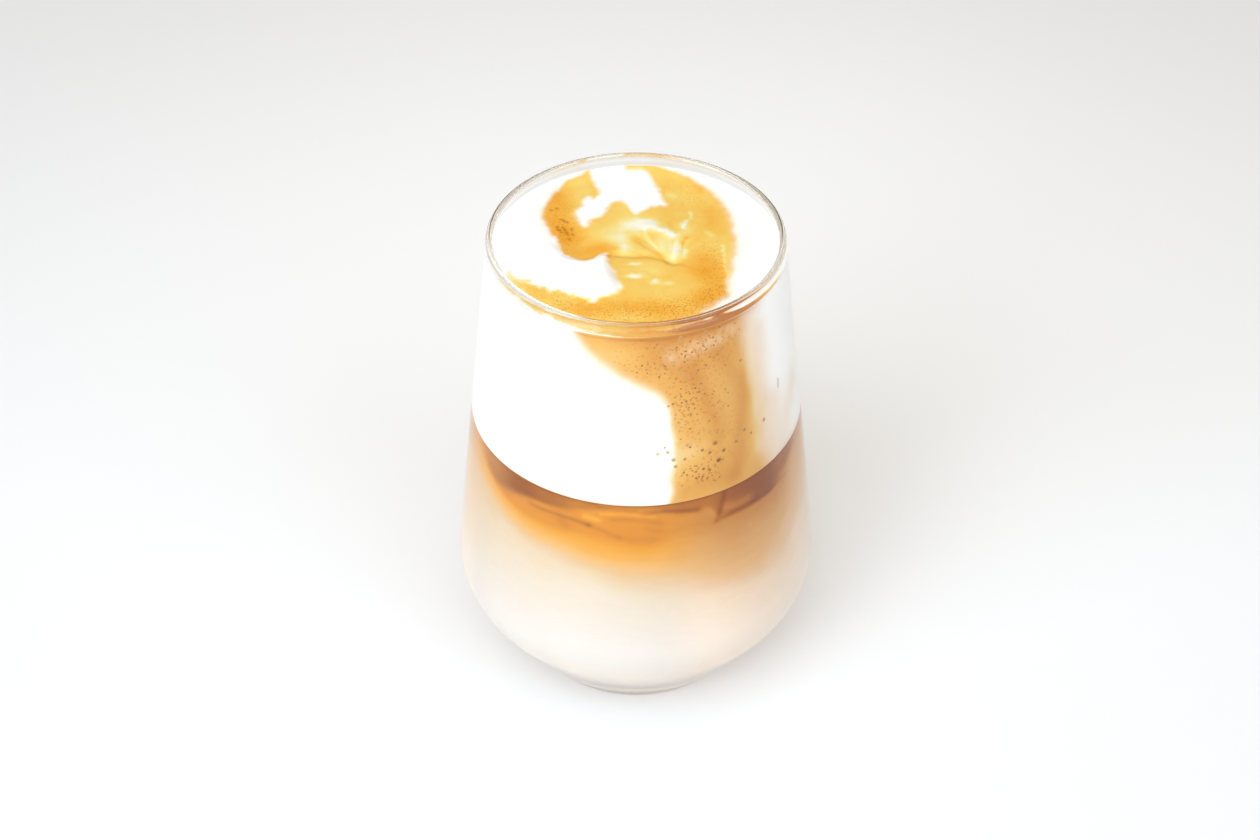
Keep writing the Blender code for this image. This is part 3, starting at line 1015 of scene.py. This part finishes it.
# Faint stain beyond the edge, where crema clouds the foam at the right.
SIDE_HAZE = (
    (((54.0, 75.0), (56.0, 82.0), (57.0, 88.0)), 4.0, 0.36),
    (((64.0, 76.0), (67.0, 82.0), (74.0, 87.0)), 4.4, 0.28),
    (((53.0, 92.0), (53.0, 100.0), (52.0, 110.0)), 3.2, 0.22),
    (((8.6, 79.0), (8.2, 86.0)), 1.6, 0.16),
)
print("the stain's outline goes through", len(STAIN), "points")

# %% Marks against the glass
# Noise that sways the stain's edge: its size, how far it moves it, both in millimetres, and its seed.
RAGGED_HEIGHT = (5.0, 1.2, 51)
RAGGED_WAY = (4.0, 1.8, 61)
# Half width of the stain's soft edge, and how much softer it gets near the rim and at the right.
STAIN_EDGE = 1.6
SOFTER_UP = 1.7
SOFTER_RIGHT = 2.6
SIDE_TONE = 0.51
SIDE_CLOUD_TONE = 0.14
STAIN_EDGE_TONE = 0.34
# Crema just above the coffee, all round and stronger at the left, with its fall-off and its tone.
GLOW = 0.30
LEFT_GLOW = 0.25
GLOW_HEIGHT = 1.1
GLOW_TONE = 0.62
# A pale line where the foam ends at the wall, and a dark one below it.
LIP_PALE = 0.34
LIP_DARK = 0.22
LIP_WIDTH = 0.30
DARK_BELOW = 0.75
# The froth's half width, how much paler it is, and how much of the stain it hides.
FROTH_WIDTH = 1.6
FROTH_TONE = 0.16
FROTH_COVER = 0.30


def side_spots(way, height, table):
    """Spots whose first number is turned from degrees into millimetres round the glass."""
    return spots(way, height, [(math.radians(row[0]) * SIDE_RADIUS, *row[1:]) for row in table])


def glow_over_coffee(turn, height):
    """Glow, more at the left, times exp(-height above the coffee / fall-off)."""
    left = rise(turn, -60.0, -30.0) * (1.0 - rise(turn, -14.0, 12.0))
    return (GLOW + LEFT_GLOW * left) * np.exp(-((height - COFFEE_LEVEL / MM) / GLOW_HEIGHT))


def marks_on_side(points):
    """The same four numbers for points against the glass, where there are no flecks."""
    x, y, z = points.T / MM
    turn = turn_of(points)
    way = np.radians(turn) * SIDE_RADIUS
    size, reach, seed = RAGGED_HEIGHT
    height = z + reach * (layered_cloud(x, y, z, size, seed) - 0.5)
    size, reach, seed = RAGGED_WAY
    sway = way + reach * (layered_cloud(x, y, 0.6 * z, size, seed) - 0.5)
    stain = inside(sway, height, on_side(STAIN))
    right = rise(turn, 30.0, 44.0)
    edge = STAIN_EDGE + SOFTER_UP * rise(z, 97.0, 111.0) + SOFTER_RIGHT * right
    cover = rise(stain, -edge, edge)
    tone = SIDE_TONE + side_spots(sway, z, SIDE_TONES) + strokes(sway, height, on_side_all(SIDE_STROKES))
    tone = tone + SIDE_CLOUD_TONE * (layered_cloud(x, y, 0.5 * z, 3.0, 71) - 0.5)
    tone = tone - STAIN_EDGE_TONE * (1.0 - rise(stain, -1.0, 2.0)) * (1.0 - right)
    glow = glow_over_coffee(turn, z)
    tone = tone + (GLOW_TONE - tone) * rise(glow - cover, 0.0, 0.2)
    lip = FOAM_EDGE_LEVEL / MM - z
    pale, dark = (np.exp(-(((lip - below) / LIP_WIDTH) ** 2)) for below in (0.0, DARK_BELOW))
    froth = strokes(way, height, [(on_side(SIDE_FROTH), FROTH_WIDTH, 1.0)])
    froth = froth * cloud(2.0 * x, 2.0 * y, z, 1.6, 101)
    tone = tone - LIP_PALE * pale + LIP_DARK * dark - FROTH_TONE * froth
    cover = cover * (1.0 - FROTH_COVER * froth)
    specks = cover * np.clip(side_spots(way, z, SIDE_SPECKLED), 0.0, 1.0)
    haze = strokes(way, z, on_side_all(SIDE_HAZE))
    cover = np.maximum(cover, glow) + haze * (1.0 - cover)
    return [np.clip(numbers, 0.0, 1.0) for numbers in (cover, tone, specks, 0.0 * way)]


spots_to_test = np.array([[15.0, -32.2, 95.0], [-15.0, -32.2, 95.0]]) * MM
print("crema cover in the stain and left of it:", marks_on_side(spots_to_test)[0].round(2))

# %% [markdown]
# ## Foam
#
# Steamed milk foam is a mass of bubbles too small to see, so it is matt and white. Its top is a
# square grid of points bent into a disc, which has no pole and even cells. The climb at the wall,
# the soft folds and the lip of foam over the brown hook are added to its height.

# %% Relief of the top
# Soft bumps and dents (x, y, their half widths and height) and grooves and ridges, in millimetres.
FOLDS = (
    (-8.0, -13.0, 5.0, 5.0, 0.35),
    (-3.0, 24.0, 6.5, 6.5, 0.35),
    (7.0, 7.0, 5.0, 5.0, 0.30),
    (-13.0, 3.0, 4.0, 5.0, -0.35),
    (15.0, 20.0, 7.5, 7.5, -0.25),
    (17.0, -10.0, 6.0, 6.0, -0.20),
)
GROOVES = (
    (((-6.5, -1.0), (-1.0, -1.6), (3.0, -1.5), (6.0, -2.6), (8.4, -4.0)), 1.0, -0.35),
    (((8.2, -3.4), (8.6, 1.0), (9.9, 6.0), (11.0, 10.0)), 0.9, 0.22),
    (((10.9, 3.6), (10.0, 0.4)), 0.6, -0.22),
    (((8.2, -3.6), (8.3, -3.4)), 1.6, -0.35),
    (((7.0, -2.4), (4.2, 1.0), (1.0, 5.2)), 1.0, -0.22),
    (((3.0, 9.6), (7.4, 6.4)), 1.4, 0.22),
)

# How high the tongue of white foam stands over the hook, and how uneven the top is.
LIP_HEIGHT = 0.75
UNEVEN = 0.10
UNEVEN_SIZE = 4.0


def foam_height(x, y, edge_radius):
    """Level + climb exp((r - edge) / width) + folds + grooves + lip, all in metres."""
    r = np.hypot(x, y)
    climb = (FOAM_EDGE_LEVEL - FOAM_LEVEL) * np.exp((r - edge_radius) / FOAM_CLIMB_WIDTH)
    u, v = x / MM, y / MM
    fade = 1.0 - np.clip(r / edge_radius, 0.0, 1.0) ** 6
    lip = LIP_HEIGHT * rise(inside(u, v, TONGUE), -0.9, 1.5) * rise(u, -23.0, -13.0)
    bumps = spots(u, v, FOLDS) + strokes(u, v, GROOVES) + lip
    bumps = bumps + UNEVEN * (layered_cloud(u, v, 0.0 * u, UNEVEN_SIZE, 81) - 0.5)
    return FOAM_LEVEL + climb + fade * bumps * MM


middle_height = foam_height(np.zeros(1), np.zeros(1), RIM_RADIUS - RIM_WALL)[0]
print("the foam's middle is at", round(middle_height / MM, 2), "mm")

# %% Material of the foam
# Milk foam, made by blowing steam into milk: its bubbles, too small to see, scatter all light, so
# it is matt and nearly white. Crema is foam too, of coffee and its oil, which make it brown. It has
# a little shine in the open air and hardly any against the glass.
FOAM_WHITE = "#FBF9F5"
SPECK_COLOUR = "#A85C10"
# Colours of the crema on top, and of the same crema seen through the glass, from pale to dark.
CREMA_STOPS = (
    (0.0, "#F3EEDD"),
    (0.10, "#F1E6BC"),
    (0.20, "#F0DC94"),
    (0.31, "#F0D072"),
    (0.43, "#F0C05A"),
    (0.56, "#EEB046"),
    (0.70, "#EAA334"),
    (0.82, "#DE962A"),
    (0.91, "#C67C22"),
    (1.0, "#B86808"),
)
STAIN_STOPS = (
    (0.0, "#E0D6B6"),
    (0.15, "#DEC68E"),
    (0.30, "#DEB46C"),
    (0.45, "#DAA655"),
    (0.60, "#D49B47"),
    (0.75, "#CD903F"),
    (0.88, "#C78636"),
    (1.0, "#B8762C"),
)
# Distance between fine dark bubbles. The real ones are too fine to show in the render, so they are
# drawn coarser, and coarsest behind the glass.
SPECK_ON_TOP = 0.60 * MM
SPECK_ON_SIDE = 0.95 * MM
FROTH_GRAIN = 0.35 * MM
PIT_DEPTH = 0.06 * MM
# How far a speck is from the middle of its cell, as a share of the cell, where it is full and gone.
SPECK_MIDDLE = 0.10
SPECK_END = 0.42
MARK_KEYS = ("cover", "tone", "specks", "flecks")


def foam_material(name, stops, speck, speck_depth, specular, roughness):
    """White foam under crema: cover mixes the two, tone picks the crema's colour, specks darken it."""
    material, tree, shader = new_material(name)
    shader.inputs["Roughness"].default_value = roughness
    shader.inputs["IOR"].default_value = 1.35
    shader.inputs["Specular IOR Level"].default_value = specular
    place = add(tree, "ShaderNodeTexCoord").outputs["Object"]
    cover, tone, speckled, flecks = (
        add(tree, "ShaderNodeAttribute", attribute_name=key).outputs["Fac"] for key in MARK_KEYS
    )
    cells = add(tree, "ShaderNodeTexVoronoi", {"Vector": place, "Scale": 1 / speck, "Randomness": 1.0})
    reach = {"From Min": SPECK_MIDDLE, "From Max": SPECK_END, "To Min": 1.0, "To Max": 0.0}
    dots = add(tree, "ShaderNodeMapRange", {"Value": cells.outputs["Distance"], **reach})
    specks = add(tree, "ShaderNodeMath", {0: dots, 1: speckled}, operation="MULTIPLY")
    dark = add(tree, "ShaderNodeMath", {0: specks, 1: flecks}, operation="ADD")
    share = add(tree, "ShaderNodeMath", {0: dark, 1: speck_depth}, operation="MULTIPLY", use_clamp=True)
    crema = add(tree, "ShaderNodeValToRGB", {"Fac": tone}, stops=stops)
    brown_inputs = {0: share, 6: crema, 7: linear(SPECK_COLOUR)}
    brown = add(tree, "ShaderNodeMix", brown_inputs, data_type="RGBA").outputs[2]
    surface_inputs = {0: cover, 6: linear(FOAM_WHITE), 7: brown}
    surface = add(tree, "ShaderNodeMix", surface_inputs, data_type="RGBA").outputs[2]
    tree.links.new(surface, shader.inputs["Base Color"])
    froth = add(tree, "ShaderNodeTexNoise", {"Vector": place, "Scale": 1 / FROTH_GRAIN, "Detail": 2.0})
    pits = add(tree, "ShaderNodeMath", {0: specks, 1: -1.0, 2: froth}, operation="MULTIPLY_ADD")
    bump = add(tree, "ShaderNodeBump", {"Height": pits, "Strength": 0.5, "Distance": PIT_DEPTH})
    tree.links.new(bump.outputs["Normal"], shader.inputs["Normal"])
    return material


open_foam = foam_material("milk_foam_open_to_the_air", CREMA_STOPS, SPECK_ON_TOP, 0.70, 0.18, 0.55)
held_foam = foam_material("milk_foam_against_glass", STAIN_STOPS, SPECK_ON_SIDE, 0.75, 0.04, 0.6)
print("foam materials:", open_foam.name, "and", held_foam.name)

# %% Foam
CELLS = 216


def bent_grid(cells):
    """A square grid bent into a disc of radius 1: rings of squares become rings of the circle."""
    u, v = np.meshgrid(np.linspace(-1, 1, cells + 1), np.linspace(-1, 1, cells + 1), indexing="ij")
    wide = np.abs(u) > np.abs(v)
    r = np.where(wide, u, v)
    safe = np.where(r == 0, 1.0, r)
    phi = np.where(wide, math.pi / 4 * v / safe, math.pi / 2 - math.pi / 4 * u / safe)
    return r * np.cos(phi), r * np.sin(phi)


def rim_of_grid(cells):
    """The grid's edge points in turn order, starting 45 degrees before +X."""
    index = np.arange((cells + 1) ** 2).reshape(cells + 1, cells + 1)
    sides = (index[-1, :-1], index[:0:-1, -1], index[0, :0:-1], index[:-1, 0])
    return np.concatenate(sides)


# Heights on the side, each with the spacing of the rows from there up.
SIDE_ROWS = (
    (COFFEE_LEVEL, 0.4 * MM),
    (75.5 * MM, 0.9 * MM),
    (114.5 * MM, 0.25 * MM),
    (FOAM_EDGE_LEVEL, 0.0),
)
side = rows_between(inner_line(-WALL_BITE), SIDE_ROWS)
edge_radius = side[-1, 0]
x, y = bent_grid(CELLS)
x, y = x.ravel() * edge_radius, y.ravel() * edge_radius
top = np.stack((x, y, foam_height(x, y, edge_radius)), axis=1)
ring = rim_of_grid(CELLS)
angles = -math.pi / 4 + np.arange(4 * CELLS) * 2 * math.pi / (4 * CELLS)
wall, wall_quads = turned(side[:-1], angles)
base = len(top)
index = np.arange((CELLS + 1) ** 2).reshape(CELLS + 1, CELLS + 1)
top_quads = np.stack((index[:-1, :-1], index[1:, :-1], index[1:, 1:], index[:-1, 1:]), axis=-1)
top_quads = top_quads.reshape(-1, 4)
last = base + (len(side) - 2) * 4 * CELLS + np.arange(4 * CELLS)
join = np.stack((last, np.roll(last, -1), np.roll(ring, -1), ring), axis=1)
first = base + np.arange(4 * CELLS)
middle = base + len(wall)
points = np.vstack((top, wall, [[0.0, 0.0, COFFEE_LEVEL]]))
faces = [top_quads, wall_quads + base, join, fan(first, middle, up=False)]
slots = np.concatenate([np.full(len(block), kind) for block, kind in zip(faces, (0, 1, 1, 1))])
top_marks = marks_on_top(points[:base])
side_marks = marks_on_side(points[base:])
patterns = {key: np.concatenate((a, b)) for key, a, b in zip(MARK_KEYS, top_marks, side_marks)}
foam = new_piece("foam_head", points, faces, [open_foam, held_foam], slots, patterns)
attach(foam, "root")
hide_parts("foam")

# %% [markdown]
# ## Bubbles against the glass
#
# Where the foam touches the glass, some of its bubbles are big enough to see. The foam's own points
# are too far apart to draw them, so each is a shallow closed lens, turned like a small bowl and
# laid on the wall, a tenth of a millimetre proud of the foam. They are brown in the stain and paler
# on the white foam. The large ones are placed one by one, and the fine ones are thrown round a few
# places.

# %% Bubbles
# Degrees round the glass, height, half width and half height in millimetres, and depth of colour.
BUBBLES = (
    (16.5, 115.5, 0.39, 0.39, 0.55),
    (26.5, 115.5, 0.44, 0.39, 0.60),
    (24.0, 114.8, 0.34, 0.34, 0.60),
    (41.0, 105.0, 0.39, 0.44, 0.60),
    (18.0, 99.5, 0.39, 0.39, 0.70),
    (18.0, 98.2, 0.31, 0.31, 0.60),
    (20.5, 98.5, 0.36, 0.36, 0.70),
    (25.0, 100.3, 0.39, 0.39, 0.65),
    (11.5, 99.0, 0.34, 0.34, 0.45),
    (23.0, 102.0, 0.31, 0.31, 0.60),
    (26.5, 93.0, 0.36, 0.36, 0.65),
    (28.5, 86.8, 0.71, 0.64, 0.75),
    (26.3, 84.8, 0.52, 0.47, 0.75),
    (31.8, 84.1, 0.52, 0.52, 0.80),
    (29.6, 82.0, 0.60, 0.60, 1.00),
    (37.0, 85.0, 0.47, 0.47, 0.70),
    (41.0, 86.8, 0.44, 0.49, 0.65),
    (44.0, 85.0, 0.44, 0.44, 0.60),
    (18.0, 88.3, 0.64, 0.51, 0.45),
    (11.0, 87.2, 0.44, 0.44, 0.35),
    (7.5, 87.0, 0.44, 0.44, 0.25),
    (13.0, 85.0, 0.52, 0.52, 0.40),
    (10.0, 88.5, 0.34, 0.34, 0.30),
    (13.7, 83.2, 0.47, 0.47, 0.50),
    (23.5, 86.0, 0.44, 0.44, 0.70),
    (17.0, 84.7, 0.44, 0.44, 0.55),
    (23.7, 81.0, 0.42, 0.42, 0.80),
    (26.0, 80.2, 0.42, 0.42, 0.80),
    (21.0, 79.0, 0.42, 0.39, 0.75),
    (23.3, 79.0, 0.36, 0.36, 0.75),
    (25.0, 78.2, 0.36, 0.36, 0.75),
    (51.0, 86.0, 0.52, 0.60, 0.45),
    # Painted shade: not a bubble but a long grey spot where a fold in the foam is shaded.
    (61.4, 91.8, 0.60, 1.60, 0.00),
)
PROUD = 0.1 * MM
LENS_COLUMNS = 20
# The hidden back of a lens beside the height of its front, and the rim's depth of colour beside
# the middle's: the middle drawn darker than the rim is painted shade.
BACK = 0.2
RIM_SHADE_SHARE = 0.55

# A bubble is a film of milk round air: it looks darker than the foam, as one sees into it. This
# darkness is painted shade, on top of the coffee's own brown in the stain.
bubble_skin, tree, shader = new_material("bubbles_behind_glass")
shader.inputs["Roughness"].default_value = 0.5
shader.inputs["Specular IOR Level"].default_value = 0.04
depth = add(tree, "ShaderNodeAttribute", attribute_name="depth").outputs["Fac"]
skin_stops = ((0.0, "#DFD7CB"), (0.35, "#C89C5C"), (0.7, "#A0601C"), (1.0, "#6E3608"))
skin = add(tree, "ShaderNodeValToRGB", {"Fac": depth}, stops=skin_stops)
tree.links.new(skin.outputs["Color"], shader.inputs["Base Color"])


def lens(angles):
    """A closed lens of radius 1: height cos(r pi / 2) in front, and that times -BACK behind."""
    radii = np.array([1.0, 0.85, 0.6, 0.3])
    front = np.stack((radii, np.cos(radii * math.pi / 2)), axis=1)
    back = (front * (1.0, -BACK))[:0:-1]
    points, quads = turned(np.vstack((back, front)), angles)
    ends = [[0.0, 0.0, -BACK], [0.0, 0.0, 1.0]]
    first = np.arange(len(angles))
    last = len(points) - len(angles) + first
    caps = [fan(first, len(points), up=False), fan(last, len(points) + 1, up=True)]
    return np.vstack((points, ends)), quads, np.vstack(caps)


def on_the_wall(shape, turn, height, half_width, half_height):
    """The lens laid on the wall: place + x east + y up the wall + z outwards."""
    line = inner_line(-WALL_BITE)
    level = height * MM
    radius, above = np.interp([level, level + MM], line[:, 1], line[:, 0])
    turn = math.radians(turn)
    out = np.array([math.sin(turn), -math.cos(turn), 0.0])
    east = np.array([math.cos(turn), math.sin(turn), 0.0])
    climb = (above - radius) * out + np.array([0.0, 0.0, MM])
    climb = climb / np.linalg.norm(climb)
    x, y, z = (shape * (half_width * MM, half_height * MM, PROUD)).T[:, :, None]
    return radius * out + np.array([0.0, 0.0, level]) + x * east + y * climb + z * np.cross(east, climb)


# Where finer bubbles lie close together: degrees, height, both spreads, and how many are thrown.
CLUSTERS = (
    (25.0, 112.6, 8.0, 2.4, 60),
    (8.0, 110.0, 7.0, 2.6, 18),
    (19.0, 99.0, 4.5, 4.5, 44),
    (28.0, 94.0, 6.0, 6.0, 26),
    (22.5, 80.0, 4.5, 2.4, 26),
    (33.0, 84.0, 6.0, 4.0, 14),
)
FINE_HALF_WIDTHS = (0.18, 0.30)
FINE_DEPTHS = (0.50, 0.85)
# The least distance inside the stain's edge, and the greatest height, in millimetres.
LEAST_INSIDE = 0.8
FINE_TOP = 115.6
chance = np.random.default_rng(17)


def scattered(turn, height, turn_spread, height_spread, count):
    """Rows like those of BUBBLES, thrown round a place; those outside the stain are left out."""
    turns = turn + turn_spread * chance.standard_normal(count)
    heights = height + height_spread * chance.standard_normal(count)
    widths = chance.uniform(*FINE_HALF_WIDTHS, count)
    depths = chance.uniform(*FINE_DEPTHS, count)
    depth_in = inside(np.radians(turns) * SIDE_RADIUS, heights, on_side(STAIN))
    kept = (depth_in > LEAST_INSIDE) & (heights < FINE_TOP)
    return list(zip(turns[kept], heights[kept], widths[kept], widths[kept], depths[kept]))


bubble_rows = list(BUBBLES)
for cluster in CLUSTERS:
    bubble_rows += scattered(*cluster)
print("bubbles against the glass:", len(bubble_rows))
shape, quads, caps = lens(np.arange(LENS_COLUMNS) * 2 * math.pi / LENS_COLUMNS)
points = np.vstack([on_the_wall(shape, *row[:4]) for row in bubble_rows])
starts = np.arange(len(bubble_rows)) * len(shape)
faces = [(block[None] + starts[:, None, None]).reshape(-1, block.shape[1]) for block in (quads, caps)]
# Painted shade: each bubble is drawn darker in its middle than at its rim.
shaded_middle = RIM_SHADE_SHARE + (1.0 - RIM_SHADE_SHARE) * np.clip(shape[:, 2], 0.0, 1.0)
depths = np.concatenate([row[4] * shaded_middle for row in bubble_rows])
bubbles = new_piece("foam_bubbles", points, faces, [bubble_skin], patterns={"depth": depths})
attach(bubbles, "root")
